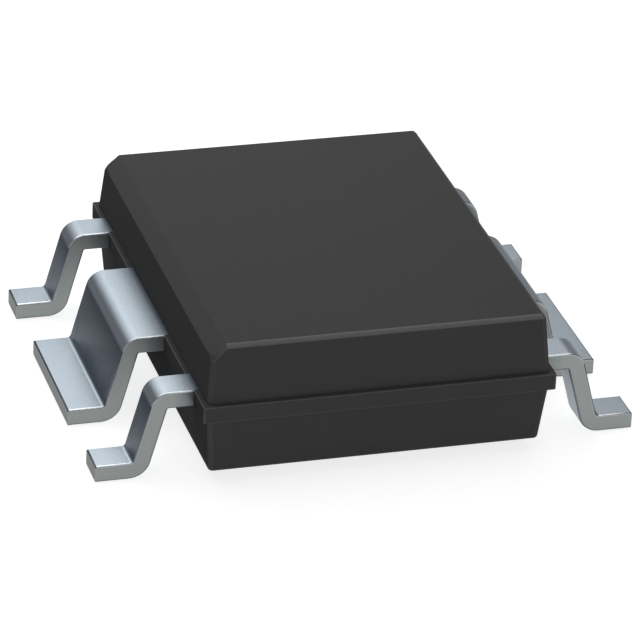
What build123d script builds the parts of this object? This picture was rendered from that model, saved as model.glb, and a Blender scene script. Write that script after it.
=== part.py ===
from build123d import *
import os
from math import atan2, degrees, hypot, radians, tan

# Six-lead surface-mount linear voltage regulator. Millimetres.
# X runs across the package from toe to toe, Y along the body, Z up from the board.
# The origin is the middle of the footprint, on the plane that the feet stand on.
# Pin 1 is at -X +Y, and the pins are counted from there anticlockwise, seen from above.

# Lead frame strip, stamped from one sheet
lead_thickness = 0.19
lead_reach = 1.055
lead_pitch = 1.91
narrow_lead_width = 0.40
wide_lead_width = 1.67
lead_edge_chamfer = 0.014

# Gull-wing bends
foot_length = 0.41
riser_lean = 15.25
shoulder_outer_radius = 0.205
shoulder_inner_radius = 0.022
foot_outer_radius = 0.22
foot_inner_radius = 0.06

# Moulded body
body_width = 3.89
body_length = 5.04
standoff = 0.145
lower_height = 0.655
upper_height = 0.65
side_draft = 5.0
end_draft = 7.0
band_proud = 0.055
band_corner_radius = 0.02
corner_radius = 0.055
top_edge_radius = 0.042
bottom_edge_radius = 0.03
pin_1_chamfer_width = 0.146
pin_1_chamfer_depth = 0.145

# Die paddle between the two wide leads
paddle_width = 2.10
paddle_to_lead_gap = 0.26
paddle_corner_radius = 0.10
downset = 0.16
downset_angle = 30.0
downset_inner_radius = 0.06
lock_hole_diameter = 0.26
lock_hole_inset = 0.33
lock_hole_spacing = 0.90

# Bond posts at the inner ends of the narrow leads
post_gap = 0.90
post_length = 0.80
post_to_paddle_gap = 0.20
post_overhang = 0.06
anchor_notch_width = 0.11
anchor_notch_depth = 0.055
anchor_notch_inset = 0.30

# Silicon die and the layer that holds it down
die_width = 1.50
die_length = 1.86
die_thickness = 0.22
attach_thickness = 0.02
attach_overhang = 0.05
attach_corner_radius = 0.06

# Bond wires
wire_diameter = 0.05
ball_diameter = 0.12
ball_height = 0.022
stitch_length = 0.11
stitch_width = 0.08
stitch_height = 0.012
neck_height = 0.11
loop_height = 0.17
loop_shoulder = 0.10
power_wire_spacing = 0.24
power_pad_inset = 0.11
signal_pad_inset = 0.25
pad_end_inset = 0.12
post_end_inset = 0.28
post_side_inset = 0.20

# Smallest step that tells two places apart
nudge = 1e-4

# Heights of the lead frame and of the body
shoulder_bottom = standoff + lower_height
shoulder_top = shoulder_bottom + lead_thickness
paddle_bottom = shoulder_bottom - downset
paddle_top = paddle_bottom + lead_thickness
attach_top = paddle_top + attach_thickness
die_top = attach_top + die_thickness

# Half sizes of the body where its two halves meet the band
band_half_x = body_width / 2
band_half_y = body_length / 2
parting_half_x = band_half_x - band_proud
parting_half_y = band_half_y - band_proud

# Formed lead, as corners of its section in X and Z
toe_x = band_half_x + lead_reach
foot_end_x = toe_x - foot_length
riser_top_x = foot_end_x - shoulder_bottom * tan(radians(riser_lean))
riser_bend = 90 - riser_lean
bend_shift = lead_thickness * tan(radians(riser_bend / 2))
under_shoulder_x = riser_top_x - bend_shift
under_foot_x = foot_end_x - bend_shift

# Paddle and bond posts, stamped clear of each other
paddle_half_y = lead_pitch - narrow_lead_width / 2 - paddle_to_lead_gap
post_inner_x = post_gap / 2
post_outer_x = post_inner_x + post_length
post_near_y = paddle_half_y + post_to_paddle_gap
post_far_y = lead_pitch + narrow_lead_width / 2 + post_overhang

# Places where the wires are bonded
pad_y = die_length / 2 - pad_end_inset
power_pad_x = die_width / 2 - power_pad_inset
signal_pad_x = die_width / 2 - signal_pad_inset
landing_x = post_inner_x + post_end_inset
landing_y = post_near_y + post_side_inset
attach_half_y = die_length / 2 + attach_overhang
ground_landing_y = (attach_half_y + paddle_half_y) / 2


def tapered_outline(root_half, end_half, height):
    """Symmetrical outline that narrows from the parting plane to the end face."""
    return [(-root_half, 0), (root_half, 0), (end_half, height), (-end_half, height)]


def drafted_half(x_outline, y_outline):
    """Half of the body, common to an outline in X and Z and one in Y and Z, with rounded corners."""
    across = extrude(Plane.XZ * make_face(Polyline(*x_outline, close=True)), body_length, both=True)
    along = extrude(Plane.YZ * make_face(Polyline(*y_outline, close=True)), body_width, both=True)
    block = across & along
    upright = [e for e in block.edges() if abs(e.tangent_at(0.5).Z) > 0.9]
    return fillet(upright, corner_radius)


def upper_half():
    """Upper half with the long chamfer that marks the pin 1 side."""
    top_half_x = parting_half_x - upper_height * tan(radians(side_draft))
    top_half_y = parting_half_y - upper_height * tan(radians(end_draft))
    chamfer_low_x = top_half_x + pin_1_chamfer_depth * tan(radians(side_draft))
    x_outline = tapered_outline(parting_half_x, top_half_x, upper_height)[:3]
    x_outline += [
        (-top_half_x + pin_1_chamfer_width, upper_height),
        (-chamfer_low_x, upper_height - pin_1_chamfer_depth),
    ]
    block = drafted_half(x_outline, tapered_outline(parting_half_y, top_half_y, upper_height))
    raised = block.edges().filter_by(lambda e: e.center().Z > upper_height - pin_1_chamfer_depth)
    chamfer_edges = raised.filter_by(Axis.Y).filter_by(lambda e: e.center().X < 0)
    return Pos(0, 0, shoulder_top) * fillet(raised - chamfer_edges, top_edge_radius)


def lower_half():
    """Lower half with a small radius round the underside."""
    end_half_x = parting_half_x - lower_height * tan(radians(side_draft))
    end_half_y = parting_half_y - lower_height * tan(radians(end_draft))
    block = drafted_half(
        tapered_outline(parting_half_x, end_half_x, -lower_height),
        tapered_outline(parting_half_y, end_half_y, -lower_height),
    )
    rim = block.faces().sort_by(Axis.Z)[0].edges()
    return Pos(0, 0, shoulder_bottom) * fillet(rim, bottom_edge_radius)


def parting_band():
    """Proud band round the parting plane, as thick as the lead frame."""
    band = extrude(RectangleRounded(body_width, body_length, band_corner_radius), lead_thickness)
    return Pos(0, 0, shoulder_bottom) * band


def section_extrusion(outline, width, y=0.0):
    """Solid with its outline in X and Z, extruded over a width in Y about y."""
    return Pos(0, y, 0) * extrude(Plane.XZ * make_face(outline), width / 2, both=True)


def gull_wing(width, y):
    """Formed lead outside the body, on the +X side, with its edges broken."""
    path = FilletPolyline(
        (band_half_x, shoulder_top),
        (riser_top_x, shoulder_top),
        (foot_end_x, lead_thickness),
        (toe_x, lead_thickness),
        (toe_x, 0),
        (under_foot_x, 0),
        (under_shoulder_x, shoulder_bottom),
        (band_half_x, shoulder_bottom),
        radius=[shoulder_outer_radius, foot_inner_radius, 0, 0, foot_outer_radius, shoulder_inner_radius],
    )
    cut_end = Line((band_half_x, shoulder_bottom), (band_half_x, shoulder_top))
    lead = section_extrusion(path + cut_end, width, y)
    exposed = lead.edges().filter_by(lambda e: e.center().X > band_half_x + nudge)
    cross_edges = exposed.filter_by(Axis.Y)
    toe_edges = cross_edges.filter_by(lambda e: e.center().X > toe_x - nudge)
    long_edges = [e for e in exposed if e not in cross_edges]
    return chamfer(long_edges + toe_edges, lead_edge_chamfer)


def narrow_lead(side_x, side_y):
    """Corner lead: gull wing, notched shank and the bond post inside the body."""
    lead_y = side_y * lead_pitch
    shank = Pos((post_inner_x + band_half_x) / 2, lead_y, 0) * Rectangle(
        band_half_x - post_inner_x, narrow_lead_width
    )
    post = Pos((post_inner_x + post_outer_x) / 2, side_y * (post_near_y + post_far_y) / 2, 0) * Rectangle(
        post_length, post_far_y - post_near_y
    )
    notch_x = band_half_x - anchor_notch_inset
    plan = shank + post
    for edge in (-1, 1):
        edge_y = lead_y + edge * narrow_lead_width / 2
        plan -= Pos(notch_x, edge_y, 0) * Rectangle(anchor_notch_width, 2 * anchor_notch_depth)
    finger = Pos(0, 0, shoulder_bottom) * extrude(plan, lead_thickness)
    lead = finger + gull_wing(narrow_lead_width, lead_y)
    return lead if side_x > 0 else mirror(lead, about=Plane.YZ)


def paddle_frame():
    """Die paddle, its two downset ties and the two wide leads: one stamped and formed strip."""
    rise_angle = radians(downset_angle)
    low_x = paddle_width / 2
    high_x = low_x + downset / tan(rise_angle)
    under_shift = lead_thickness * tan(rise_angle / 2)
    outer_radius = downset_inner_radius + lead_thickness
    top_line = FilletPolyline(
        (0, paddle_top),
        (low_x, paddle_top),
        (high_x, shoulder_top),
        (band_half_x, shoulder_top),
        radius=[downset_inner_radius, outer_radius],
    )
    bottom_line = FilletPolyline(
        (band_half_x, shoulder_bottom),
        (high_x + under_shift, shoulder_bottom),
        (low_x + under_shift, paddle_bottom),
        (0, paddle_bottom),
        radius=[downset_inner_radius, outer_radius],
    )
    outer_end = Line((band_half_x, shoulder_top), (band_half_x, shoulder_bottom))
    inner_end = Line((0, paddle_bottom), (0, paddle_top))
    tie = section_extrusion(top_line + bottom_line + outer_end + inner_end, wide_lead_width)
    hole_x = band_half_x - lock_hole_inset
    hole_z = (shoulder_bottom + shoulder_top) / 2
    for hole_y in (-lock_hole_spacing / 2, lock_hole_spacing / 2):
        tie -= Pos(hole_x, hole_y, hole_z) * Cylinder(lock_hole_diameter / 2, 2 * lead_thickness)
    wing = tie + gull_wing(wide_lead_width, 0)
    paddle = extrude(RectangleRounded(paddle_width, 2 * paddle_half_y, paddle_corner_radius), lead_thickness)
    return Pos(0, 0, paddle_bottom) * paddle + wing + mirror(wing, about=Plane.YZ)


def die_attach():
    """Layer of bonding material under the die, a little larger all round."""
    plan = RectangleRounded(die_width + 2 * attach_overhang, 2 * attach_half_y, attach_corner_radius)
    return Pos(0, 0, paddle_top) * extrude(plan, attach_thickness)


def regulator_die():
    """Sawn silicon chip."""
    return Pos(0, 0, attach_top) * extrude(Rectangle(die_width, die_length), die_thickness)


def bond_wire(start, end, end_z):
    """Ball on the die, upright neck, kinked shoulder, straight run down and a flat stitch."""
    reach = hypot(end[0] - start[0], end[1] - start[1])
    heading = degrees(atan2(end[1] - start[1], end[0] - start[0]))
    drop = end_z - die_top
    ball = Pos(0, 0, ball_height / 2) * Cylinder(ball_diameter / 2, ball_height)
    route = Polyline((0, ball_height / 2), (0, neck_height), (loop_shoulder, loop_height), (reach, drop))
    section = Pos(0, 0, ball_height / 2) * Circle(wire_diameter / 2)
    tube = sweep(section, path=Plane.XZ * route, transition=Transition.RIGHT)
    stitch = Pos(reach, 0, drop + stitch_height / 2) * Box(stitch_length, stitch_width, stitch_height)
    below = Pos(0, 0, drop) * Box(4 * reach, reach, reach, align=(Align.CENTER, Align.CENTER, Align.MAX))
    return Pos(start[0], start[1], die_top) * Rot(0, 0, heading) * (ball + tube + stitch - below)


def post_wire(side_x, side_y, pad_x, post_x):
    """Wire from a pad near the die's edge to the bond post of the lead on that corner."""
    return bond_wire((side_x * pad_x, side_y * pad_y), (side_x * post_x, side_y * landing_y), shoulder_top)


def mould_body(enclosed):
    """Epoxy body, moulded round everything that it encloses."""
    body = upper_half() + parting_band() + lower_half()
    for piece in enclosed:
        body -= piece
    return body


pieces = {
    "paddle_frame": paddle_frame(),
    "output_lead_1": narrow_lead(-1, 1),
    "enable_lead_3": narrow_lead(-1, -1),
    "sense_lead_4": narrow_lead(1, -1),
    "input_lead_6": narrow_lead(1, 1),
    "die_attach": die_attach(),
    "regulator_die": regulator_die(),
    "output_wire_inner": post_wire(-1, 1, power_pad_x - power_wire_spacing, landing_x),
    "output_wire_outer": post_wire(-1, 1, power_pad_x, landing_x + power_wire_spacing),
    "input_wire_inner": post_wire(1, 1, power_pad_x - power_wire_spacing, landing_x),
    "input_wire_outer": post_wire(1, 1, power_pad_x, landing_x + power_wire_spacing),
    "enable_wire": post_wire(-1, -1, signal_pad_x, landing_x),
    "sense_wire": post_wire(1, -1, signal_pad_x, landing_x),
    "ground_wire": bond_wire((0, -pad_y), (0, -ground_landing_y), paddle_top),
}
pieces["mould_body"] = mould_body(list(pieces.values()))

os.makedirs("parts", exist_ok=True)
for name, shape in pieces.items():
    export_step(shape, f"parts/{name}.step")
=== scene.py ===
from math import atan2, cos, hypot, pi, radians, sin, tan

import bmesh
import bpy
from mathutils import Matrix, Vector


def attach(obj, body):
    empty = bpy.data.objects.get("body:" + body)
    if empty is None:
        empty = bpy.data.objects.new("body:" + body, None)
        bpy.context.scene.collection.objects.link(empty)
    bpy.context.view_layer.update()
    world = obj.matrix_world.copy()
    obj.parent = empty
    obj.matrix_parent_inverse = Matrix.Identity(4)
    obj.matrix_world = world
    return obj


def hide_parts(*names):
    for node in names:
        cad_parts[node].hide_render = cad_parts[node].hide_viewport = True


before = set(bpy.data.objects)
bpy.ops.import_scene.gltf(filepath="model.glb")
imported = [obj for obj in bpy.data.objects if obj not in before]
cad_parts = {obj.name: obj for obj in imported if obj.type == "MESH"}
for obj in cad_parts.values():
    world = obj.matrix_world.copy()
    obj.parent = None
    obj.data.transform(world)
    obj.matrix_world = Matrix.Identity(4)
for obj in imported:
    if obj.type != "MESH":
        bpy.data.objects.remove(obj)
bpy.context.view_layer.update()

# Lengths are in millimetres here, and each finished piece is scaled to metres.
MM = 0.001

# Lead frame strip
STRIP_THICKNESS = 0.19
STRIP_EDGE_RADIUS = 0.02
STRIP_EDGE_STEPS = 2
NARROW_WIDTH = 0.40
WIDE_WIDTH = 1.67
LEAD_PITCH = 1.91
TOE_X = 3.0
FOOT_LENGTH = 0.41
RISER_LEAN = radians(15.25)
SHOULDER_BEND_RADIUS = 0.1135
FOOT_BEND_RADIUS = 0.14
BEND_ROWS = 14
BEND_STEPS = 32

# Sealed part of the lead frame
PADDLE_WIDTH = 2.10
PADDLE_LENGTH = 2.90
PADDLE_CORNER_RADIUS = 0.10
PADDLE_CORNER_STEPS = 8
DOWNSET = 0.16
DOWNSET_ANGLE = radians(30)
DOWNSET_BEND_RADIUS = 0.155
LOCK_HOLE_RADIUS = 0.13
LOCK_HOLE_INSET = 0.33
LOCK_HOLE_SPACING = 0.90
LOCK_HOLE_POINTS = 32
POST_INNER_X = 0.45
POST_OUTER_X = 1.25
POST_NEAR_Y = 1.65
POST_FAR_Y = 2.17
NOTCH_WIDTH = 0.11
NOTCH_DEPTH = 0.055
NOTCH_INSET = 0.30

# Silicon die and the circuit on it
DIE_WIDTH = 1.50
DIE_LENGTH = 1.86
DIE_THICKNESS = 0.22
ATTACH_THICKNESS = 0.02
POWER_WIRE_SPACING = 0.24
POWER_PAD_INSET = 0.11
SIGNAL_PAD_INSET = 0.25
PAD_END_INSET = 0.12
PAD_HALF = 0.05
SEAL_RING_INSET = 0.03
SEAL_RING_HALF = 0.008
POWER_FIELD_SIDE = (0.655, 0.665)
POWER_FIELD_Y = 0.17
POWER_FIELD_HALF = 0.52
FINGER_SCALE = 11.25
CELL_SCALE = 16.0
SAW_LINE_SCALE = (6, 6, 260)
FACE_REACH = 0.003

# Bond wires
WIRE_DIAMETER = 0.05
WIRE_SIDES = 16
BALL_DIAMETER = 0.12
BALL_HEIGHT = 0.022
BALL_TAPER = 0.9
NECK_DIAMETER = 0.08
NECK_LENGTH = 0.025
BOND_SIDES = 32
STITCH_SIZE = (0.11, 0.08, 0.012)
RISE_HEIGHT = 0.11
RISE_BEND_RADIUS = 0.05
LOOP_HEIGHT = 0.17
LOOP_REACH = 0.10
LOOP_BEND_RADIUS = 0.14
LOOP_STEPS = 10
LANDING_X = 0.73
LANDING_Y = 1.85
GROUND_LANDING_Y = 1.215

# Moulded body
BODY_WIDTH = 3.89
BODY_LENGTH = 5.04
BAND_BOTTOM = 0.80
BAND_TOP = 0.99
BAND_PROUD = 0.055
BODY_TOP = 1.64
BODY_BOTTOM = 0.145
SIDE_DRAFT = radians(5)
END_DRAFT = radians(7)
UPRIGHT_RADIUS = 0.055
TOP_RADIUS = 0.042
BOTTOM_RADIUS = 0.03
BAND_CORNER_RADIUS = 0.02
BAND_RIM_RADIUS = 0.01
BEVEL_WIDTH = 0.146
BEVEL_DEPTH = 0.145
BEVEL_RIM_RADIUS = 0.008
ROUND_STEPS = 6
RIM_STEPS = 3
ROUND_PROFILE = 0.5
WORN_PROFILE = 0.32
MOULDING_ROOM = 0.0005

# Share of painted highlight on the rounded edges of the body
TOP_SHINE = 1.0
UPRIGHT_SHINE = 0.15
BEVEL_SHINE = 0.10
BOTTOM_SHINE = 0.35
BAND_CORNER_SHINE = 0.35
BAND_RIM_SHINE = 0.5
PIN_1_WALL_SHARE = 0.0
PIN_1_CORNER_SHARE = 0.5

# Limits for picking and joining mesh parts
FLAT_ANGLE = radians(0.2)
SHARP_ANGLE = radians(40)
WELD_DISTANCE = 1e-5
CUT_DISTANCE = 1e-6
LEVEL_REACH = 1e-4
RIM_REACH = 1e-3
UPRIGHT_SLOPE = 0.9
LEVEL_SLOPE = 0.1
LENGTHWISE = 0.999
PIN_1_SIDE = -0.1
FACING = 0.5

# Levels that follow from the sizes
STRIP_MIDDLE = (BAND_BOTTOM + BAND_TOP) / 2
PADDLE_TOP = BAND_TOP - DOWNSET
DIE_TOP = PADDLE_TOP + ATTACH_THICKNESS + DIE_THICKNESS
HALF_SEAT = (BAND_TOP - BAND_BOTTOM) / 4

# Zones of the strip's finish and of its painted shade, as distances from the toe along the strip
# Painted shade on the risers runs between the foot and shoulder limits
RISER_SHADE_FOOT = (0.42, 0.50)
RISER_SHADE_SHOULDER = (1.19, 1.31)
# Painted shade near the body, first on the sides and then on all faces
SIDE_SHADE_ZONE = (1.38, 1.70)
SIDE_SHADE_SHARE = 0.8
BODY_SHADE_ZONE = (1.60, 1.66)
BARE_COPPER = (1.70, 1.72)
SILVER_POST = (2.31, 2.32)
SILVER_POST_SIDE = (1.60, 1.61)
# Painted shade on the toe's top edge reaches this far from the toe
TOE_RIM_REACH = 0.017

# Zones of the strip's finish, painted shade and painted highlight, as heights over the middle of the
# sheet
SHEARED_EDGE = (0.074, 0.082)
TOE_RIM_EDGE = (0.074, 0.080)
# Painted shade on the outer faces of the risers starts at these heights
RISER_SHADE_FACE = (0.076, 0.082)
# Painted highlight line along the top edges of the strip
EDGE_HIGHLIGHT_LINE = 0.087
EDGE_HIGHLIGHT_REACH = 0.007
# Painted shade line along the lower edges of the strip
UNDER_RIM_LINE = -0.085
UNDER_RIM_REACH = 0.009

# Tones of the finishes, of painted shade and of painted highlights, and pairs of tones that a grain
# mixes
WHITE = (1.0, 1.0, 1.0)
RESIN = (0.077, 0.076, 0.076), (0.088, 0.087, 0.087)
# Painted highlight on the rounded edges of the body
EDGE_HIGHLIGHT_RESIN = (0.190, 0.188, 0.188)
TIN = (0.475, 0.523, 0.569), (0.572, 0.627, 0.677)
# Painted shade on the outside of the risers: lighter at the foot, darker at the shoulder, with painted
# dark blotches
RISER_SHADE_LOW = (0.212, 0.235, 0.268)
RISER_SHADE_HIGH = (0.044, 0.052, 0.065)
RISER_SHADE_BLOTCH = (0.060, 0.070, 0.086)
# Sheared sides: a duller real finish, darkened further by painted shade
SHEARED_SHADED_TIN = (0.248, 0.264, 0.260)
# Painted highlight line along the top edges
EDGE_HIGHLIGHT_TIN = (0.90, 0.93, 0.96)
# Painted shade on the lower edge rounds
UNDER_RIM_SHADE = (0.15, 0.16, 0.17)
# Painted shade on the toe's top edge
TOE_RIM_SHADE = (0.12, 0.13, 0.14)
STREAK = (1.18, 1.18, 1.18)
# Painted shade near the body
BODY_SHADE_TINT = (0.40, 0.44, 0.50)
COPPER = (0.66, 0.36, 0.24), (0.78, 0.45, 0.31)
SILVER = (0.60, 0.60, 0.585), (0.72, 0.72, 0.70)
FLAKE = (0.30, 0.30, 0.31), (0.62, 0.62, 0.63)
GREY_RESIN = (0.36, 0.36, 0.38)
SAWN_SILICON = (0.13, 0.135, 0.16), (0.22, 0.225, 0.25)
POWER_FINGERS = (0.20, 0.17, 0.22), (0.47, 0.45, 0.42)
CONTROL_CELLS = (0.13, 0.20, 0.24), (0.42, 0.36, 0.40)
PAD_METAL = (0.78, 0.78, 0.76)
GOLD = (0.80, 0.57, 0.19), (0.90, 0.69, 0.29)
HEATED_GOLD = (0.76, 0.50, 0.17)

# Roughness of the finishes, from the low to the high end of a grain or mask
RESIN_ROUGHNESS = (0.47, 0.55)
TIN_ROUGHNESS = (0.32, 0.42)
EDGE_HIGHLIGHT_ROUGHNESS = 0.75
ATTACH_ROUGHNESS = (0.60, 0.35)
ATTACH_METAL = (0.35, 0.95)
SILICON_ROUGHNESS = (0.5, 0.16)
GOLD_ROUGHNESS = (0.18, 0.32)

# Grain of the finishes, in cycles per metre of the piece
RESIN_TEXTURE = 26000
RESIN_CLOUDS = 1500
ATTACH_FLAKES = 90000.0
ATTACH_FLOW = 6000
GOLD_DRAWING_LINES = 60000
GOLD_HEAT = 4000

# Grain of the strip, in cycles per millimetre
TIN_CRYSTALS = 60.0
TIN_BLOTCHES = 5.0
SHEAR_STREAKS = (3, 60, 60)
STRIP_GRAIN_DETAIL = 2.0

# Depth of the relief of the finishes, in metres
RESIN_RELIEF = 0.000004
TIN_RELIEF = 0.000003
ATTACH_RELIEF = 0.000004
PAD_RELIEF = 0.000002
GOLD_RELIEF = 0.000001

# Camera
CAMERA_PLACE = (-13.0827, -42.4771, 23.4269)
CAMERA_RIGHT = (0.96062953, -0.27471783, 0.04148523)
CAMERA_UP = (0.09043699, 0.45037346, 0.88824822)
SENSOR_WIDTH = 36
FOCAL_LENGTH = 254.13
CLIP_START = 0.001
CLIP_END = 10

# Studio
HORIZON_TONE = (0.36, 0.37, 0.38, 1)
HAZE_HEIGHT = 0.30
HAZE_TONE = (0.33, 0.34, 0.35, 1)
CEILING_HEIGHT = 0.6
CEILING_TONE = (0.0, 0.0, 0.0, 1)
FLOOR_HALF = 0.5
FLOOR_TONE = (0.5, 0.5, 0.5, 1)
FLOOR_GLOW = 0.80
WHITE_LIGHT = (1, 1, 1)
COOL_LIGHT = (0.91, 0.965, 1.0)


# Node trees


def fill_sockets(tree, node, sockets):
    """Fills or joins the input sockets of a node."""
    for name, value in sockets.items():
        if isinstance(value, bpy.types.NodeSocket):
            tree.links.new(value, node.inputs[name])
        else:
            node.inputs[name].default_value = value


def add_node(tree, kind, sockets=None, **options):
    """Adds a node to a tree, sets its options, and fills or joins its sockets."""
    node = tree.nodes.new(kind)
    for option, value in options.items():
        setattr(node, option, value)
    fill_sockets(tree, node, sockets or {})
    return node


def reckoned(tree, operation, *values):
    """Result of one step of arithmetic on some values."""
    sockets = dict(enumerate(values))
    return add_node(tree, "ShaderNodeMath", sockets, operation=operation).outputs[0]


def product(tree, first, second):
    """One value times another."""
    return reckoned(tree, "MULTIPLY", first, second)


def largest(tree, first, second):
    """The larger of two values."""
    return reckoned(tree, "MAXIMUM", first, second)


def band_mask(tree, value, centre, reach):
    """One where a value is within reach of a centre, and nought elsewhere."""
    return reckoned(tree, "COMPARE", value, centre, reach)


def spread(tree, value, low, high, start=0.0, end=1.0):
    """Number that goes from low to high while a value goes from start to end."""
    return add_node(
        tree,
        "ShaderNodeMapRange",
        {"Value": value, "From Min": start, "From Max": end, "To Min": low, "To Max": high},
    ).outputs["Result"]


def rising(tree, value, start, end):
    """Nought before the first limit, and one after the second."""
    return spread(tree, value, 0.0, 1.0, start, end)


def falling(tree, value, start, end):
    """One before the first limit, and nought after the second."""
    return spread(tree, value, 1.0, 0.0, start, end)


def parts_of(tree, vector):
    """X, Y and Z of a vector."""
    return add_node(tree, "ShaderNodeSeparateXYZ", {"Vector": vector}).outputs


def vector_of(tree, **parts):
    """Vector with some of its X, Y and Z given."""
    return add_node(tree, "ShaderNodeCombineXYZ", parts).outputs[0]


def scaled(tree, vector, scale):
    """Vector times a number."""
    return add_node(
        tree, "ShaderNodeVectorMath", {0: vector, "Scale": scale}, operation="SCALE"
    ).outputs[0]


def stretched(tree, place, scale):
    """Place with a scale of its own for each axis."""
    return add_node(tree, "ShaderNodeMapping", {"Vector": place, "Scale": scale}).outputs["Vector"]


# Meshes


def mesh_object(name, bm):
    """Object with the mesh of a bmesh."""
    mesh = bpy.data.meshes.new(name)
    bm.to_mesh(mesh)
    bm.free()
    made = bpy.data.objects.new(name, mesh)
    bpy.context.scene.collection.objects.link(made)
    return made


def evaluated_mesh(source):
    """Plain mesh of an object with its modifiers applied."""
    bpy.context.view_layer.update()
    graph = bpy.context.evaluated_depsgraph_get()
    return bpy.data.meshes.new_from_object(source.evaluated_get(graph), depsgraph=graph)


def bake_modifiers(piece):
    """Replaces an object's mesh by the result of its modifiers."""
    mesh = evaluated_mesh(piece)
    piece.modifiers.clear()
    piece.data = mesh


def combine(piece, other, operation):
    """Joins another solid to a piece, or cuts it away, and uses that solid up."""
    step = piece.modifiers.new("step", "BOOLEAN")
    step.operation = operation
    step.solver = "EXACT"
    step.object = other
    bake_modifiers(piece)
    bpy.data.objects.remove(other)


def finish_piece(piece, finish, slot, *nodes):
    """Smooths a piece, brings it to metres, gives it its finish and ties it to the frame."""
    for face in piece.data.polygons:
        face.use_smooth = True
        face.material_index = 0
    piece.data.set_sharp_from_angle(angle=SHARP_ANGLE)
    shading = piece.modifiers.new("even shading", "WEIGHTED_NORMAL")
    shading.keep_sharp = True
    bake_modifiers(piece)
    piece.data.transform(Matrix.Scale(MM, 4))
    piece.data.materials.clear()
    piece.data.materials.append(finish)
    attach(piece, "root")
    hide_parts(*nodes)


def finish_node(name, finish):
    """Gives a CAD solid that stays as it is its finish."""
    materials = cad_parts[name].data.materials
    materials.clear()
    materials.append(finish)


# Camera, stage and light


def photograph_camera():
    """Camera at the photograph's viewing angle."""
    right = Vector(CAMERA_RIGHT)
    up = Vector(CAMERA_UP)
    data = bpy.data.cameras.new("photograph_camera")
    data.sensor_width = SENSOR_WIDTH
    data.lens = FOCAL_LENGTH
    data.clip_start = CLIP_START
    data.clip_end = CLIP_END
    camera = bpy.data.objects.new("photograph_camera", data)
    bpy.context.scene.collection.objects.link(camera)
    turn = Matrix((right, up, right.cross(up))).transposed().to_4x4()
    camera.matrix_world = Matrix.Translation(Vector(CAMERA_PLACE) * MM) @ turn
    bpy.context.scene.camera = camera


def softbox(name, place, aim, size, brightness, colour):
    """Evenly lit panel that faces a point, with places and sizes in millimetres."""
    data = bpy.data.lights.new(name, "AREA")
    data.shape = "RECTANGLE"
    data.size = size[0] * MM
    data.size_y = size[1] * MM
    data.energy = brightness * pi * data.size * data.size_y
    data.color = colour
    lamp = bpy.data.objects.new(name, data)
    bpy.context.scene.collection.objects.link(lamp)
    lamp.location = Vector(place) * MM
    lamp.rotation_mode = "QUATERNION"
    lamp.rotation_quaternion = (Vector(place) - Vector(aim)).to_track_quat("Z", "Y")
    lamp.visible_camera = False


def studio_lamps():
    """Broad light from above, a panel behind each row of leads, and one in front for the edges."""
    softbox(
        "overhead_softbox",
        place=(-14, 50, 189),
        aim=(0, 0, 0),
        size=(300, 300),
        brightness=1.06,
        colour=WHITE_LIGHT,
    )
    softbox(
        "left_back_softbox",
        place=(-4.5, 8, 8),
        aim=(-3.2, 0, 0),
        size=(7, 8),
        brightness=1.02,
        colour=COOL_LIGHT,
    )
    softbox(
        "right_back_softbox",
        place=(2.2, 8, 8),
        aim=(3.5, 0, 0),
        size=(6.4, 8),
        brightness=1.12,
        colour=COOL_LIGHT,
    )
    softbox(
        "front_softbox",
        place=(70, -160, 180),
        aim=(0, 0, 0),
        size=(60, 45),
        brightness=2.7,
        colour=WHITE_LIGHT,
    )


def studio_sky():
    """Pale haze along the horizon, under a dark ceiling."""
    world = bpy.data.worlds.new("studio_sky")
    world.use_nodes = True
    tree = world.node_tree
    tree.nodes.clear()
    direction = add_node(tree, "ShaderNodeTexCoord").outputs["Generated"]
    ramp = add_node(tree, "ShaderNodeValToRGB", {"Fac": parts_of(tree, direction)["Z"]})
    stops = ramp.color_ramp.elements
    stops[0].color = HORIZON_TONE
    stops[1].color = CEILING_TONE
    stops[1].position = CEILING_HEIGHT
    stops.new(HAZE_HEIGHT).color = HAZE_TONE
    sky = add_node(tree, "ShaderNodeBackground", {"Color": ramp.outputs["Color"], "Strength": 1.0})
    add_node(tree, "ShaderNodeOutputWorld", {"Surface": sky.outputs["Background"]})
    bpy.context.scene.world = world


def studio_floor():
    """Pale floor, white to the camera and in reflections, that keeps the soft shadow."""
    bm = bmesh.new()
    bmesh.ops.create_grid(bm, x_segments=1, y_segments=1, size=FLOOR_HALF)
    floor = mesh_object("studio_floor", bm)
    paint = bpy.data.materials.new("studio_floor")
    paint.use_nodes = True
    tree = paint.node_tree
    tree.nodes.clear()
    path = add_node(tree, "ShaderNodeLightPath").outputs
    seen = largest(tree, path["Is Camera Ray"], path["Is Glossy Ray"])
    seen = largest(tree, seen, path["Is Transmission Ray"])
    lit = add_node(tree, "ShaderNodeBsdfDiffuse", {"Color": FLOOR_TONE}).outputs[0]
    glow = add_node(tree, "ShaderNodeEmission", {"Color": (*WHITE, 1), "Strength": FLOOR_GLOW})
    white = add_node(tree, "ShaderNodeAddShader", {0: lit, 1: glow.outputs[0]}).outputs[0]
    both = add_node(tree, "ShaderNodeMixShader", {0: seen, 1: lit, 2: white})
    add_node(tree, "ShaderNodeOutputMaterial", {"Surface": both.outputs[0]})
    floor.data.materials.append(paint)


# Finishes


def new_finish(name):
    """Material with an empty tree, its shader and its output."""
    finish = bpy.data.materials.new(name)
    finish.use_nodes = True
    tree = finish.node_tree
    tree.nodes.clear()
    shader = add_node(tree, "ShaderNodeBsdfPrincipled")
    add_node(tree, "ShaderNodeOutputMaterial", {"Surface": shader.outputs["BSDF"]})
    return finish, tree, shader


def object_place(tree):
    """Place on the piece, in metres."""
    return add_node(tree, "ShaderNodeTexCoord").outputs["Object"]


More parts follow.
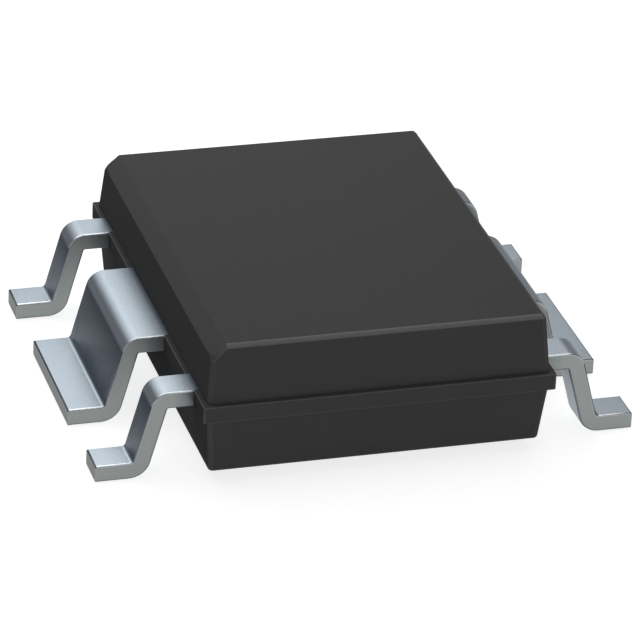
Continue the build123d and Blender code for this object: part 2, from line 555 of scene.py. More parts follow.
def grain(tree, place, scale, detail=3.0):
    """Noise value on a place, at a scale in cycles per unit of the place."""
    return add_node(
        tree,
        "ShaderNodeTexNoise",
        {"Vector": place, "Scale": scale, "Detail": detail, "Roughness": 0.6},
    ).outputs["Fac"]


def cell_values(tree, place, scale, randomness, distance):
    """Value of its own for each cell of a pattern."""
    cells = add_node(
        tree,
        "ShaderNodeTexVoronoi",
        {"Vector": place, "Scale": scale, "Randomness": randomness},
        distance=distance,
    )
    return add_node(tree, "ShaderNodeSeparateColor", {"Color": cells.outputs["Color"]}).outputs[0]


def mixed(tree, share, first, second):
    """Colour between two others, each a colour of three numbers or a socket."""
    sockets = {0: share, 6: first, 7: second}
    sockets = {k: (*v, 1) if isinstance(v, tuple) else v for k, v in sockets.items()}
    return add_node(tree, "ShaderNodeMix", sockets, data_type="RGBA").outputs[2]


def tinted(tree, tone, tint):
    """One colour times another."""
    sockets = {0: 1.0, 6: tone, 7: tint}
    node = add_node(tree, "ShaderNodeMix", sockets, data_type="RGBA", blend_type="MULTIPLY")
    return node.outputs[2]


def relief(tree, height, strength, depth, under=None):
    """Surface direction with a relief of a depth in metres, on top of another relief if given."""
    sockets = {"Height": height, "Strength": strength, "Distance": depth}
    if under is not None:
        sockets["Normal"] = under
    return add_node(tree, "ShaderNodeBump", sockets).outputs["Normal"]


def moulded_epoxy():
    """Black moulding compound: fine spark-eroded texture with filler grain in the resin, and a painted
    highlight on the rounded edges.
    """
    finish, tree, shader = new_finish("moulded_epoxy")
    place = object_place(tree)
    texture = grain(tree, place, RESIN_TEXTURE)
    clouds = grain(tree, place, RESIN_CLOUDS)
    # Painted highlight on the rounded edges, by the share stored on each face
    edge = add_node(tree, "ShaderNodeAttribute", attribute_name="mould_edge").outputs["Fac"]
    tone = mixed(tree, texture, *RESIN)
    fill_sockets(
        tree,
        shader,
        {
            "Base Color": mixed(tree, edge, tone, EDGE_HIGHLIGHT_RESIN),
            "Roughness": spread(tree, clouds, *RESIN_ROUGHNESS),
            "Metallic": 0.3,
            "Specular IOR Level": 0.0,
            "Specular Tint": (0.2, 0.2, 0.2, 1),
            "Normal": relief(tree, texture, strength=0.25, depth=RESIN_RELIEF),
        },
    )
    return finish


def sealed_strip(tree, parts, crystals):
    """Tone inside the body: bare copper, with silver-plated bond posts."""
    width = reckoned(tree, "ABSOLUTE", parts["Y"])
    post = product(
        tree, rising(tree, parts["X"], *SILVER_POST), rising(tree, width, *SILVER_POST_SIDE)
    )
    copper = mixed(tree, crystals, *COPPER)
    silver = mixed(tree, crystals, *SILVER)
    return mixed(tree, post, copper, silver)


def painted_riser_shade(tree, place, along):
    """Painted shade on the outside of a riser: darker towards the shoulder and blotched with painted
    dark reflections.
    """
    riser = rising(tree, along, RISER_SHADE_FOOT[1], RISER_SHADE_SHOULDER[0])
    blotches = grain(tree, place, TIN_BLOTCHES, STRIP_GRAIN_DETAIL)
    blotches = spread(tree, blotches, low=0.0, high=0.3, start=0.4, end=0.7)
    return mixed(tree, blotches, mixed(tree, riser, RISER_SHADE_LOW, RISER_SHADE_HIGH), RISER_SHADE_BLOTCH)


def satin_tin():
    """Satin tin with copper and silver inside; sheared edges duller and darker by painted shade, painted
    shade on the risers, the rims and near the body, and a painted highlight line along the top edges.
    """
    finish, tree, shader = new_finish("satin_tin")
    place = add_node(tree, "ShaderNodeAttribute", attribute_name="lead_place").outputs["Vector"]
    parts = parts_of(tree, place)
    along = parts["X"]
    height = reckoned(tree, "ABSOLUTE", parts["Z"])
    crystals = grain(tree, place, TIN_CRYSTALS, STRIP_GRAIN_DETAIL)
    streaks = grain(tree, stretched(tree, place, SHEAR_STREAKS), scale=1.0)

    sheared = falling(tree, height, *SHEARED_EDGE)
    # Painted shade on the toe's top edge
    toe_rim_shade = product(
        tree, band_mask(tree, along, 0.0, TOE_RIM_REACH), rising(tree, height, *TOE_RIM_EDGE)
    )
    # Painted shade on the outer faces of the risers
    riser_zone = product(
        tree, falling(tree, along, *RISER_SHADE_SHOULDER), rising(tree, along, *RISER_SHADE_FOOT)
    )
    riser_shade = product(tree, riser_zone, rising(tree, parts["Z"], *RISER_SHADE_FACE))
    # Painted highlight line along the top edges, away from the risers
    highlight_line = product(
        tree,
        band_mask(tree, parts["Z"], EDGE_HIGHLIGHT_LINE, EDGE_HIGHLIGHT_REACH),
        falling(tree, riser_zone, 0.0, 1.0),
    )
    # Painted shade near the body, first on the sides and then on all faces
    side_shade = product(tree, spread(tree, along, 0.0, SIDE_SHADE_SHARE, *SIDE_SHADE_ZONE), sheared)
    body_shade = largest(tree, rising(tree, along, *BODY_SHADE_ZONE), side_shade)
    worn = product(tree, streaks, sheared)

    tone = mixed(tree, rising(tree, crystals, start=0.3, end=0.7), *TIN)
    # Coats in turn: painted riser shade, sheared sides with painted shade, painted highlight line,
    # painted shade on the lower rim and the toe rim
    for mask, coat in (
        (riser_shade, painted_riser_shade(tree, place, along)),
        (sheared, SHEARED_SHADED_TIN),
        (highlight_line, EDGE_HIGHLIGHT_TIN),
        (band_mask(tree, parts["Z"], UNDER_RIM_LINE, UNDER_RIM_REACH), UNDER_RIM_SHADE),
        (toe_rim_shade, TOE_RIM_SHADE),
    ):
        tone = mixed(tree, mask, tone, coat)
    tone = tinted(tree, tone, mixed(tree, worn, WHITE, STREAK))
    # Painted shade near the body
    tone = tinted(tree, tone, mixed(tree, body_shade, WHITE, BODY_SHADE_TINT))
    sealed = rising(tree, along, *BARE_COPPER)
    coarse = spread(tree, crystals, *TIN_ROUGHNESS)
    polish = spread(tree, highlight_line, low=1.0, high=EDGE_HIGHLIGHT_ROUGHNESS)
    shear_relief = relief(tree, worn, strength=0.10, depth=TIN_RELIEF)
    fill_sockets(
        tree,
        shader,
        {
            "Base Color": mixed(tree, sealed, tone, sealed_strip(tree, parts, crystals)),
            "Roughness": product(tree, coarse, polish),
            "Metallic": 1.0,
            "Specular Tint": (0.5, 0.5, 0.5, 1),
            "Normal": relief(tree, crystals, strength=0.20, depth=TIN_RELIEF, under=shear_relief),
        },
    )
    return finish


def silver_filled_epoxy():
    """Cured adhesive of the die, with silver flakes in a grey resin."""
    finish, tree, shader = new_finish("silver_filled_epoxy")
    place = object_place(tree)
    shade = cell_values(tree, place, ATTACH_FLAKES, randomness=1.0, distance="EUCLIDEAN")
    flow = grain(tree, place, ATTACH_FLOW)
    bleed = spread(tree, flow, low=0.0, high=0.4, start=0.35, end=0.75)
    fill_sockets(
        tree,
        shader,
        {
            "Base Color": mixed(tree, bleed, mixed(tree, shade, *FLAKE), GREY_RESIN),
            "Roughness": spread(tree, shade, *ATTACH_ROUGHNESS),
            "Metallic": spread(tree, shade, *ATTACH_METAL),
            "Normal": relief(tree, flow, strength=0.3, depth=ATTACH_RELIEF),
        },
    )
    return finish


def die_metal(tree, across, along):
    """Mask of the bond pads and the seal ring, from places across and along the die."""
    pad_y = DIE_LENGTH / 2 - PAD_END_INSET
    power_x = DIE_WIDTH / 2 - POWER_PAD_INSET
    reach = reckoned(tree, "ADD", across, (DIE_LENGTH - DIE_WIDTH) / 2)
    rim = largest(tree, reach, reckoned(tree, "ABSOLUTE", along))
    metal = band_mask(tree, rim, DIE_LENGTH / 2 - SEAL_RING_INSET, SEAL_RING_HALF)
    for x, y in (
        (power_x, pad_y),
        (power_x - POWER_WIRE_SPACING, pad_y),
        (DIE_WIDTH / 2 - SIGNAL_PAD_INSET, -pad_y),
        (0.0, -pad_y),
    ):
        pad = product(
            tree, band_mask(tree, across, x, PAD_HALF), band_mask(tree, along, y, PAD_HALF)
        )
        metal = largest(tree, metal, pad)
    return metal


def regulator_silicon():
    """Sawn silicon with a circuit on top: transistor fingers, control cells, pads and a seal ring."""
    finish, tree, shader = new_finish("regulator_silicon")
    place = scaled(tree, object_place(tree), 1 / MM)
    parts = parts_of(tree, place)
    across = reckoned(tree, "ABSOLUTE", parts["X"])
    face = band_mask(tree, parts["Z"], DIE_TOP, FACE_REACH)
    saw_lines = grain(tree, stretched(tree, place, SAW_LINE_SCALE), scale=1.0)
    fingers = add_node(
        tree,
        "ShaderNodeTexWave",
        {"Vector": place, "Scale": FINGER_SCALE, "Distortion": 0.0},
        wave_type="BANDS",
        bands_direction="X",
        wave_profile="SIN",
    ).outputs["Fac"]
    shade = cell_values(tree, place, CELL_SCALE, randomness=0.8, distance="CHEBYCHEV")
    in_power = product(
        tree,
        falling(tree, across, *POWER_FIELD_SIDE),
        band_mask(tree, parts["Y"], POWER_FIELD_Y, POWER_FIELD_HALF),
    )
    circuit = mixed(
        tree, in_power, mixed(tree, shade, *CONTROL_CELLS), mixed(tree, fingers, *POWER_FINGERS)
    )
    metal = die_metal(tree, across, parts["Y"])
    circuit = mixed(tree, metal, circuit, PAD_METAL)
    fill_sockets(
        tree,
        shader,
        {
            "Base Color": mixed(tree, face, mixed(tree, saw_lines, *SAWN_SILICON), circuit),
            "Roughness": spread(tree, face, *SILICON_ROUGHNESS),
            "Metallic": 0.7,
            "Coat Weight": 0.3,
            "Normal": relief(tree, metal, strength=0.4, depth=PAD_RELIEF),
        },
    )
    return finish


def drawn_gold():
    """Gold bonding wire with faint drawing lines and a satin ball and stitch."""
    finish, tree, shader = new_finish("drawn_gold")
    place = object_place(tree)
    lines = grain(tree, place, GOLD_DRAWING_LINES)
    heat = spread(tree, grain(tree, place, GOLD_HEAT), low=0.0, high=0.5, start=0.4, end=0.8)
    fill_sockets(
        tree,
        shader,
        {
            "Base Color": mixed(tree, heat, mixed(tree, lines, *GOLD), HEATED_GOLD),
            "Roughness": spread(tree, lines, *GOLD_ROUGHNESS),
            "Metallic": 1.0,
            "Normal": relief(tree, lines, strength=0.15, depth=GOLD_RELIEF),
        },
    )
    return finish


# Tools that form the leads and the wires


def new_tool(name, inputs, output):
    """Geometry node tree with named inputs and one output, and the sockets of those inputs."""
    tree = bpy.data.node_groups.new(name, "GeometryNodeTree")
    for socket, kind in inputs.items():
        tree.interface.new_socket(socket, in_out="INPUT", socket_type="NodeSocket" + kind)
    tree.interface.new_socket(output, in_out="OUTPUT", socket_type="NodeSocketGeometry")
    return tree, add_node(tree, "NodeGroupInput").outputs


def end_tool(tree, shape, finish, output):
    """Ends a tool with one plain mesh in its finish."""
    solid = add_node(tree, "GeometryNodeRealizeInstances", {"Geometry": shape}).outputs["Geometry"]
    coated = add_node(tree, "GeometryNodeSetMaterial", {"Geometry": solid, "Material": finish})
    add_node(tree, "NodeGroupOutput", {output: coated.outputs["Geometry"]})


def set_inputs(modifier, **values):
    """Fills the named inputs of a node tree's modifier."""
    for item in modifier.node_group.interface.items_tree:
        name = item.name.lower().replace(" ", "_")
        if item.in_out == "INPUT" and name in values:
            modifier[item.identifier] = values[name]


def bend_line(name, corners, radii):
    """Middle line of a strip or wire, as straight runs with a bend radius at each corner."""
    line = bpy.data.curves.new(name, "CURVE")
    line.dimensions = "3D"
    spline = line.splines.new("POLY")
    spline.points.add(len(corners) - 1)
    for point, corner, radius in zip(spline.points, corners, [0, *radii, 0]):
        point.co = (corner[0], 0, corner[1], 1)
        point.radius = radius
    made = bpy.data.objects.new(name, line)
    bpy.context.scene.collection.objects.link(made)
    return made


def smooth_line(tree, line, steps):
    """Bend line with its corners rounded."""
    shape = add_node(tree, "GeometryNodeObjectInfo", {"Object": line}).outputs["Geometry"]
    radius = add_node(tree, "GeometryNodeInputRadius").outputs["Radius"]
    sockets = {"Curve": shape, "Count": steps, "Radius": radius}
    return add_node(tree, "GeometryNodeFilletCurve", sockets, mode="POLY").outputs["Curve"]


def own_place(tree):
    """X, Y and Z of each point of the shape."""
    return parts_of(tree, add_node(tree, "GeometryNodeInputPosition").outputs["Position"])


def moved(tree, shape, place):
    """Shape with its points set to places."""
    sockets = {"Geometry": shape, "Position": place}
    return add_node(tree, "GeometryNodeSetPosition", sockets).outputs["Geometry"]


def transformed(tree, shape, **sockets):
    """Shape moved, turned or scaled as a whole."""
    node = add_node(tree, "GeometryNodeTransform", {"Geometry": shape, **sockets})
    return node.outputs["Geometry"]


# Formed leads


def developed_bends(corners, radii):
    """Length of the flat blank, and where along it each bend starts and ends."""
    points = [Vector(corner) for corner in corners]
    length = 0.0
    tangent = 0.0
    spans = []
    for before, here, after, radius in zip(points, points[1:], points[2:], radii):
        turn = (here - before).angle(after - here)
        next_tangent = radius * tan(turn / 2)
        length += (here - before).length - tangent - next_tangent
        spans.append((length, length + radius * turn))
        length += radius * turn
        tangent = next_tangent
    return length + (points[-1] - points[-2]).length - tangent, spans


def stamped_blank(name, outlines, bends):
    """Flat blank of the strip with rounded edges, divided into rows where it is bent."""
    sheet = bpy.data.curves.new(name, "CURVE")
    sheet.dimensions = "2D"
    sheet.fill_mode = "BOTH"
    sheet.extrude = STRIP_THICKNESS / 2 - STRIP_EDGE_RADIUS
    sheet.bevel_depth = STRIP_EDGE_RADIUS
    sheet.bevel_resolution = STRIP_EDGE_STEPS
    sheet.offset = -STRIP_EDGE_RADIUS
    for outline in outlines:
        spline = sheet.splines.new("POLY")
        spline.points.add(len(outline) - 1)
        spline.use_cyclic_u = True
        for point, (x, y) in zip(spline.points, outline):
            point.co = (x, y, 0, 1)
    cutter = bpy.data.objects.new(name, sheet)
    bpy.context.scene.collection.objects.link(cutter)
    bm = bmesh.new()
    bm.from_mesh(evaluated_mesh(cutter))
    bpy.data.objects.remove(cutter)
    bmesh.ops.remove_doubles(bm, verts=bm.verts, dist=WELD_DISTANCE)
    bmesh.ops.dissolve_limit(bm, angle_limit=FLAT_ANGLE, verts=bm.verts, edges=bm.edges)
    for start, end in bends:
        for row in range(BEND_ROWS + 1):
            x = start + (end - start) * row / BEND_ROWS
            for side in (-1, 1):
                bmesh.ops.bisect_plane(
                    bm,
                    geom=[*bm.verts, *bm.edges, *bm.faces],
                    dist=CUT_DISTANCE,
                    plane_co=(side * x, 0, 0),
                    plane_no=(1, 0, 0),
                )
    bmesh.ops.recalc_face_normals(bm, faces=bm.faces)
    return mesh_object(name, bm)


def forming_tool():
    """Node tree that bends a flat blank along a bend line, alike on both sides of the middle."""
    inputs = {
        "Blank": "Geometry",
        "Bend line": "Object",
        "Steps per bend": "Int",
        "Blank length": "Float",
        "Finish": "Material",
    }
    tree, given = new_tool("forming_tool", inputs, "Lead")
    flat = own_place(tree)
    reach = reckoned(tree, "ABSOLUTE", flat["X"])
    side = reckoned(tree, "SIGN", flat["X"])
    from_toe = reckoned(tree, "SUBTRACT", given["Blank length"], reach)
    marks = vector_of(tree, X=from_toe, Y=flat["Y"], Z=flat["Z"])
    marked = add_node(
        tree,
        "GeometryNodeStoreNamedAttribute",
        {"Geometry": given["Blank"], "Name": "lead_place", "Value": marks},
        data_type="FLOAT_VECTOR",
        domain="POINT",
    ).outputs["Geometry"]
    followed = add_node(
        tree,
        "GeometryNodeSampleCurve",
        {"Curves": smooth_line(tree, given["Bend line"], given["Steps per bend"]), "Length": reach},
        mode="LENGTH",
    ).outputs
    outward = add_node(
        tree,
        "ShaderNodeVectorMath",
        {0: followed["Tangent"], 1: (0, 1, 0)},
        operation="CROSS_PRODUCT",
    ).outputs[0]
    lifted = scaled(tree, outward, flat["Z"])
    formed = add_node(tree, "ShaderNodeVectorMath", {0: followed["Position"], 1: lifted}).outputs[0]
    formed = parts_of(tree, formed)
    place = vector_of(tree, X=product(tree, formed["X"], side), Y=flat["Y"], Z=formed["Z"])
    end_tool(tree, moved(tree, marked, place), given["Finish"], "Lead")
    return tree


def formed_strip(name, outlines, corners, radii, tool, finish):
    """Stamped blank, bent to the bend line by the forming tool."""
    length, spans = developed_bends(corners, radii)
    blank = stamped_blank(name, outlines, spans)
    line = bend_line(name + "_line", corners, radii)
    forming = blank.modifiers.new("forming tool", "NODES")
    forming.node_group = tool
    set_inputs(
        forming, bend_line=line, steps_per_bend=BEND_STEPS, blank_length=length, finish=finish
    )
    bake_modifiers(blank)
    bpy.data.objects.remove(line)
    return blank


def wing_corners():
    """Corners of the gull wing's middle line, from the shoulder to the toe."""
    bend_shift = STRIP_THICKNESS * tan((pi / 2 - RISER_LEAN) / 2)
    foot_x = TOE_X - FOOT_LENGTH - bend_shift / 2
    shoulder_x = foot_x - BAND_BOTTOM * tan(RISER_LEAN)
    return [(shoulder_x, STRIP_MIDDLE), (foot_x, STRIP_THICKNESS / 2), (TOE_X, STRIP_THICKNESS / 2)]


def circle_points(centre, radius, start, end, steps):
    """Points of an arc in the plan, from one angle to another."""
    angles = [start + (end - start) * step / steps for step in range(steps + 1)]
    return [(centre[0] + radius * cos(a), centre[1] + radius * sin(a)) for a in angles]


def narrow_lead(name, side_x, side_y, tool, finish):
    """Corner lead with its notched shank and its bond post."""
    corners = [(0, STRIP_MIDDLE), *wing_corners()]
    radii = [SHOULDER_BEND_RADIUS, FOOT_BEND_RADIUS]
    end_x = developed_bends(corners, radii)[0]
    low_y = LEAD_PITCH - NARROW_WIDTH / 2
    high_y = LEAD_PITCH + NARROW_WIDTH / 2
    notch_x = BODY_WIDTH / 2 - NOTCH_INSET
    notch = (notch_x - NOTCH_WIDTH / 2, notch_x + NOTCH_WIDTH / 2)
    outline = [
        (POST_INNER_X, POST_NEAR_Y),
        (POST_OUTER_X, POST_NEAR_Y),
        (POST_OUTER_X, low_y),
        (notch[0], low_y),
        (notch[0], low_y + NOTCH_DEPTH),
        (notch[1], low_y + NOTCH_DEPTH),
        (notch[1], low_y),
        (end_x, low_y),
        (end_x, high_y),
        (notch[1], high_y),
        (notch[1], high_y - NOTCH_DEPTH),
        (notch[0], high_y - NOTCH_DEPTH),
        (notch[0], high_y),
        (POST_OUTER_X, high_y),
        (POST_OUTER_X, POST_FAR_Y),
        (POST_INNER_X, POST_FAR_Y),
    ]
    outline = [(side_x * x, side_y * y) for x, y in outline]
    return formed_strip(name + "_formed", [outline], corners, radii, tool, finish)


def paddle_strip(name, tool, finish):
    """Die paddle, its downset ties and the two wide leads, formed from one blank."""
    shift = STRIP_THICKNESS * tan(DOWNSET_ANGLE / 2) / 2
    low_x = PADDLE_WIDTH / 2 + shift
    high_x = low_x + DOWNSET / tan(DOWNSET_ANGLE)
    corners = [
        (0, STRIP_MIDDLE - DOWNSET),
        (low_x, STRIP_MIDDLE - DOWNSET),
        (high_x, STRIP_MIDDLE),
        *wing_corners(),
    ]
    radii = [DOWNSET_BEND_RADIUS, DOWNSET_BEND_RADIUS, SHOULDER_BEND_RADIUS, FOOT_BEND_RADIUS]
    end_x = developed_bends(corners, radii)[0]
    tie_end = developed_bends(corners[:4], radii[:2])[0] - (corners[3][0] - BODY_WIDTH / 2)
    centre = (PADDLE_WIDTH / 2 - PADDLE_CORNER_RADIUS, PADDLE_LENGTH / 2 - PADDLE_CORNER_RADIUS)
    edge = [(end_x, WIDE_WIDTH / 2), (PADDLE_WIDTH / 2, WIDE_WIDTH / 2)]
    edge += circle_points(centre, PADDLE_CORNER_RADIUS, 0, pi / 2, PADDLE_CORNER_STEPS)
    outline = edge + [(-x, y) for x, y in reversed(edge)]
    outline += [(-x, -y) for x, y in outline]
    hole_x = tie_end - LOCK_HOLE_INSET
    steps = LOCK_HOLE_POINTS - 1
    holes = [
        circle_points((side * hole_x, y), LOCK_HOLE_RADIUS, 0, 2 * pi * steps / LOCK_HOLE_POINTS, steps)
        for side in (-1, 1)
        for y in (-LOCK_HOLE_SPACING / 2, LOCK_HOLE_SPACING / 2)
    ]
    return formed_strip(name + "_formed", [outline, *holes], corners, radii, tool, finish)


# Bond wires


def round_block(tree, bottom, top, depth):
    """Round block that stands on the origin, with its bottom and top radius."""
    return add_node(
        tree,
        "GeometryNodeMeshCone",
        {"Vertices": BOND_SIDES, "Radius Top": top, "Radius Bottom": bottom, "Depth": depth},
    ).outputs["Mesh"]


def bonding_tool():
    """Node tree that makes a bond wire: looped wire, ball and neck on the pad, stitch on the landing."""
    inputs = {
        "Route": "Object",
        "Wire diameter": "Float",
        "Ball diameter": "Float",
        "Ball height": "Float",
        "Neck diameter": "Float",
        "Neck length": "Float",
        "Stitch size": "Vector",
        "Landing place": "Vector",
        "Pad place": "Vector",
        "Bearing": "Float",
        "Finish": "Material",
    }
    tree, given = new_tool("bonding_tool", inputs, "Wire")
    wire_radius = product(tree, given["Wire diameter"], 0.5)
    ball_radius = product(tree, given["Ball diameter"], 0.5)
    neck_radius = product(tree, given["Neck diameter"], 0.5)
    loop = smooth_line(tree, given["Route"], LOOP_STEPS)
    even = add_node(tree, "GeometryNodeSetCurveRadius", {"Curve": loop, "Radius": 1.0})
    section = add_node(
        tree, "GeometryNodeCurvePrimitiveCircle", {"Resolution": WIRE_SIDES, "Radius": wire_radius}
    )
    wire = add_node(
        tree,
        "GeometryNodeCurveToMesh",
        {"Curve": even.outputs["Curve"], "Profile Curve": section.outputs["Curve"], "Fill Caps": True},
    ).outputs["Mesh"]
    drawn = own_place(tree)
    level = largest(tree, drawn["Z"], parts_of(tree, given["Landing place"])["Z"])
    pressed = moved(tree, wire, vector_of(tree, X=drawn["X"], Y=drawn["Y"], Z=level))
    ball = round_block(
        tree, ball_radius, product(tree, ball_radius, BALL_TAPER), given["Ball height"]
    )
    neck = round_block(tree, neck_radius, wire_radius, given["Neck length"])
    neck = transformed(tree, neck, Translation=vector_of(tree, Z=given["Ball height"]))
    stitch = transformed(
        tree,
        round_block(tree, bottom=0.5, top=0.5, depth=1.0),
        Translation=given["Landing place"],
        Scale=given["Stitch size"],
    )
    joined = add_node(tree, "GeometryNodeMeshBoolean", operation="UNION", solver="EXACT")
    for part in (pressed, ball, neck, stitch):
        tree.links.new(part, joined.inputs["Mesh 2"])
    placed = transformed(
        tree,
        joined.outputs["Mesh"],
        Translation=given["Pad place"],
        Rotation=vector_of(tree, Z=given["Bearing"]),
    )
    end_tool(tree, placed, given["Finish"], "Wire")
    return tree


def bond_wire(name, pad, landing, tool, finish):
    """Gold wire from a pad on the die to its landing."""
    reach = hypot(landing[0] - pad[0], landing[1] - pad[1])
    drop = landing[2] - DIE_TOP
    corners = [(0, BALL_HEIGHT / 2), (0, RISE_HEIGHT), (LOOP_REACH, LOOP_HEIGHT), (reach, drop)]
    route = bend_line(name + "_route", corners, [RISE_BEND_RADIUS, LOOP_BEND_RADIUS])
    wire = mesh_object(name + "_bonded", bmesh.new())
    bonding = wire.modifiers.new("bonding tool", "NODES")
    bonding.node_group = tool
    set_inputs(
        bonding,
        route=route,
        wire_diameter=WIRE_DIAMETER,
        ball_diameter=BALL_DIAMETER,
        ball_height=BALL_HEIGHT,
        neck_diameter=NECK_DIAMETER,
        neck_length=NECK_LENGTH,
        stitch_size=STITCH_SIZE,
        landing_place=(reach, 0.0, drop),
        pad_place=(pad[0], pad[1], DIE_TOP),
        bearing=atan2(landing[1] - pad[1], landing[0] - pad[0]),
        finish=finish,
    )
    bake_modifiers(wire)
    bpy.data.objects.remove(route)
    return wire


def bond_plan():
    """Pad and landing of each wire, by the name of the node that it replaces."""
    pad_y = DIE_LENGTH / 2 - PAD_END_INSET
    power_x = DIE_WIDTH / 2 - POWER_PAD_INSET
    signal_x = DIE_WIDTH / 2 - SIGNAL_PAD_INSET
    plan = {"ground_wire": ((0, -pad_y), (0, -GROUND_LANDING_Y, PADDLE_TOP))}
    for side, supply, signal in ((-1, "output", "enable"), (1, "input", "sense")):
        plan[signal + "_wire"] = (
            (side * signal_x, -pad_y),
            (side * LANDING_X, -LANDING_Y, BAND_TOP),
        )
        for shift, row in ((POWER_WIRE_SPACING, "inner"), (0, "outer")):
            plan[f"{supply}_wire_{row}"] = (
                (side * (power_x - shift), pad_y),
                (side * (LANDING_X + POWER_WIRE_SPACING - shift), LANDING_Y, BAND_TOP),
            )
    return plan


# Moulded body


def rounded(bm, edges, radius, shine, steps=ROUND_STEPS, profile=ROUND_PROFILE):
    """Rounds some edges of a block and marks how strongly a painted highlight lightens the rounds."""
    bm.normal_update()
    rounds = bmesh.ops.bevel(
        bm,
        geom=edges,
        offset=radius,
        offset_type="OFFSET",
        affect="EDGES",
        segments=steps,
        profile=profile,
        clamp_overlap=False,
    )
    for face in rounds["faces"]:
        face[bm.faces.layers.float["mould_edge"]] = shine


def block_of(points):
    """Solid block with flat faces round some corner points."""
    bm = bmesh.new()
    for point in points:
        bm.verts.new(point)
    bmesh.ops.convex_hull(bm, input=bm.verts)
    bmesh.ops.dissolve_limit(bm, angle_limit=FLAT_ANGLE, verts=bm.verts, edges=bm.edges)
    # Share of painted edge highlight on each face
    bm.faces.layers.float.new("mould_edge")
    return bm


def rectangle(half_x, half_y, z):
    """Corners of a rectangle at a height."""
    return [(x, y, z) for x in (-half_x, half_x) for y in (-half_y, half_y)]


def drafted(distance):
    """Half width and half length of either half of the body, at a distance from the band."""
    return (
        BODY_WIDTH / 2 - BAND_PROUD - distance * tan(SIDE_DRAFT),
        BODY_LENGTH / 2 - BAND_PROUD - distance * tan(END_DRAFT),
    )


def middle(edge):
    """Middle point of an edge."""
    return (edge.verts[0].co + edge.verts[1].co) / 2


def direction(edge):
    """Unit direction of an edge."""
    return (edge.verts[1].co - edge.verts[0].co).normalized()


def uprights(bm):
    """Edges of a block that stand up, with or without draft."""
    return [edge for edge in bm.edges if abs(direction(edge).z) > UPRIGHT_SLOPE]


def upper_half():
    """Upper half with the long bevel that marks the pin 1 side."""
    height = BODY_TOP - BAND_TOP
    top_x, top_y = drafted(height)
    low_x, low_y = drafted(height - BEVEL_DEPTH)
    low_z = BODY_TOP - BEVEL_DEPTH
    points = rectangle(*drafted(-HALF_SEAT), BAND_TOP - HALF_SEAT)
    points += [(top_x, y, BODY_TOP) for y in (-top_y, top_y)]
    points += [(-top_x + BEVEL_WIDTH, y, BODY_TOP) for y in (-top_y, top_y)]
    points += [(-low_x, y, low_z) for y in (-low_y, low_y)]
    bm = block_of(points)
    rounded(bm, uprights(bm), UPRIGHT_RADIUS, UPRIGHT_SHINE)
    raised = [e for e in bm.edges if middle(e).z > low_z + LEVEL_REACH]
    bevel_rims = [e for e in raised if abs(direction(e).y) > LENGTHWISE and middle(e).x < 0]
    top_edges = [e for e in raised if e not in bevel_rims]
    rounded(bm, top_edges, TOP_RADIUS, TOP_SHINE, profile=WORN_PROFILE)
    high_edges = [e for e in bm.edges if middle(e).z > low_z - RIM_REACH]
    long_edges = [e for e in high_edges if e.calc_length() > BODY_LENGTH / 2]
    bevel_rims = [e for e in long_edges if middle(e).x < -BEVEL_WIDTH]
    rounded(bm, bevel_rims, BEVEL_RIM_RADIUS, shine=0.0, steps=RIM_STEPS)
    # Painted highlight on the rounds: none on the pin 1 wall, part on its corners, and its own share on
    # the bevel
    shine = bm.faces.layers.float["mould_edge"]
    bm.normal_update()
    for face in bm.faces:
        x, y, z = face.normal
        if x < PIN_1_SIDE:
            face[shine] *= PIN_1_WALL_SHARE if abs(y) < FACING else PIN_1_CORNER_SHARE
        if x < -FACING and z > FACING:
            face[shine] = BEVEL_SHINE
    return mesh_object("upper_half", bm)


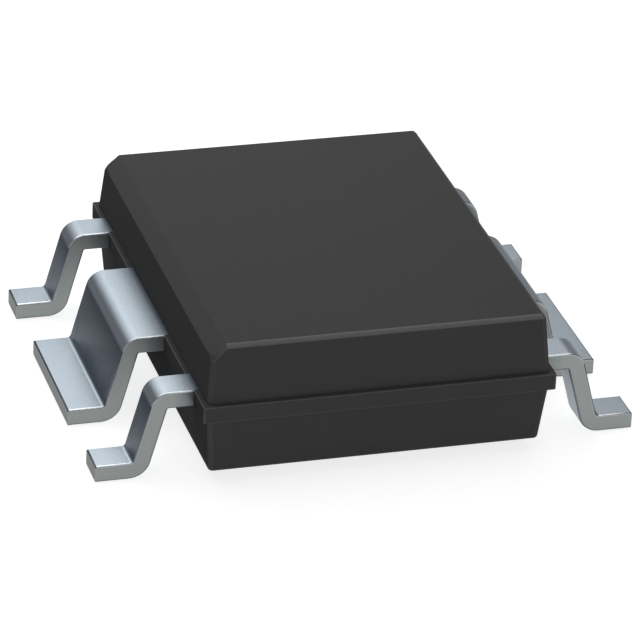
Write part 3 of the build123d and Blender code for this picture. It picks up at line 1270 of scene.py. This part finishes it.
def lower_half():
    """Lower half with a small radius round the underside."""
    points = rectangle(*drafted(-HALF_SEAT), BAND_BOTTOM + HALF_SEAT)
    points += rectangle(*drafted(BAND_BOTTOM - BODY_BOTTOM), BODY_BOTTOM)
    bm = block_of(points)
    rounded(bm, uprights(bm), UPRIGHT_RADIUS, UPRIGHT_SHINE)
    under_edges = [e for e in bm.edges if middle(e).z < BODY_BOTTOM + LEVEL_REACH]
    rounded(bm, under_edges, BOTTOM_RADIUS, BOTTOM_SHINE)
    return mesh_object("lower_half", bm)


def parting_band():
    """Proud band round the parting plane."""
    points = rectangle(BODY_WIDTH / 2, BODY_LENGTH / 2, BAND_BOTTOM)
    points += rectangle(BODY_WIDTH / 2, BODY_LENGTH / 2, BAND_TOP)
    bm = block_of(points)
    rounded(bm, uprights(bm), BAND_CORNER_RADIUS, BAND_CORNER_SHINE)
    rims = [e for e in bm.edges if abs(direction(e).z) < LEVEL_SLOPE]
    rounded(bm, rims, BAND_RIM_RADIUS, BAND_RIM_SHINE, RIM_STEPS)
    return mesh_object("parting_band", bm)


def room_for(piece):
    """Copy of a piece, grown by a hair so that no two faces lie in one plane."""
    bm = bmesh.new()
    bm.from_mesh(piece.data)
    bm.normal_update()
    for vert in bm.verts:
        vert.co += MOULDING_ROOM * vert.normal
    return mesh_object("room", bm)


def mould_body(enclosed):
    """Body of both halves and the band, moulded round the pieces that it encloses."""
    body = parting_band()
    combine(body, upper_half(), "UNION")
    combine(body, lower_half(), "UNION")
    for piece in enclosed:
        combine(body, room_for(piece), "DIFFERENCE")
    body.name = "mould_body_moulded"
    return body


# The part on its stage

photograph_camera()
studio_sky()
studio_floor()
studio_lamps()

epoxy = moulded_epoxy()
tin = satin_tin()
gold = drawn_gold()
former = forming_tool()
bonder = bonding_tool()

strips = {"paddle_frame": paddle_strip("paddle_frame", former, tin)}
for node, side_x, side_y in (
    ("output_lead_1", -1, 1),
    ("enable_lead_3", -1, -1),
    ("sense_lead_4", 1, -1),
    ("input_lead_6", 1, 1),
):
    strips[node] = narrow_lead(node, side_x, side_y, former, tin)
body = mould_body(strips.values())

for node, strip in strips.items():
    finish_piece(strip, tin, "tinned_copper", node)
finish_piece(body, epoxy, "mould_compound", "mould_body")
finish_node("die_attach", silver_filled_epoxy())
finish_node("regulator_die", regulator_silicon())
for node, (pad, landing) in bond_plan().items():
    finish_piece(bond_wire(node, pad, landing, bonder, gold), gold, "gold_wire", node)

bpy.context.scene.view_settings.view_transform = "Standard"
